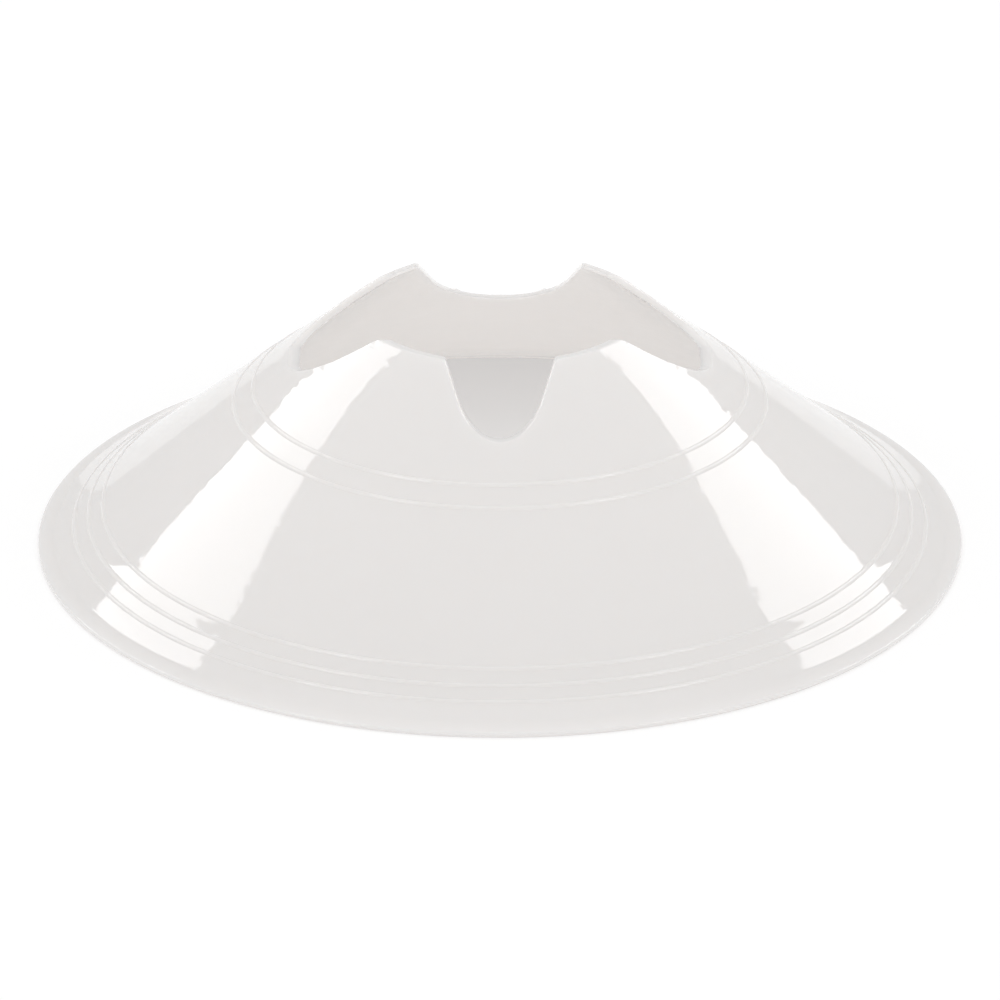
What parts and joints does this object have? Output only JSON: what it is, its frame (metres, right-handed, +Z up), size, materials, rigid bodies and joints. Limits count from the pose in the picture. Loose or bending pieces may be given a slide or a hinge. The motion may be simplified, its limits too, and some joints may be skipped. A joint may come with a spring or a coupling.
{
  "type": "sports marker cone",
  "caption": "Low round marker cone for sports fields: a thin glossy shell, open underneath, with ring beads, a flat brim, and a top hole with rounded pole notches.",
  "frame": {"origin": "centre of the base, on the ground", "axes": "+Z up along the cone's axis, -Y towards the front, which has the narrowest notch, and +X to the right as seen from the front"},
  "size_m": [0.19, 0.19, 0.0504],
  "materials": {
    "cone_plastic": "glossy off-white soft plastic, as moulded"
  },
  "bodies": {
    "root": {"marker_cone": "cone_plastic"}
  },
  "joints": []
}
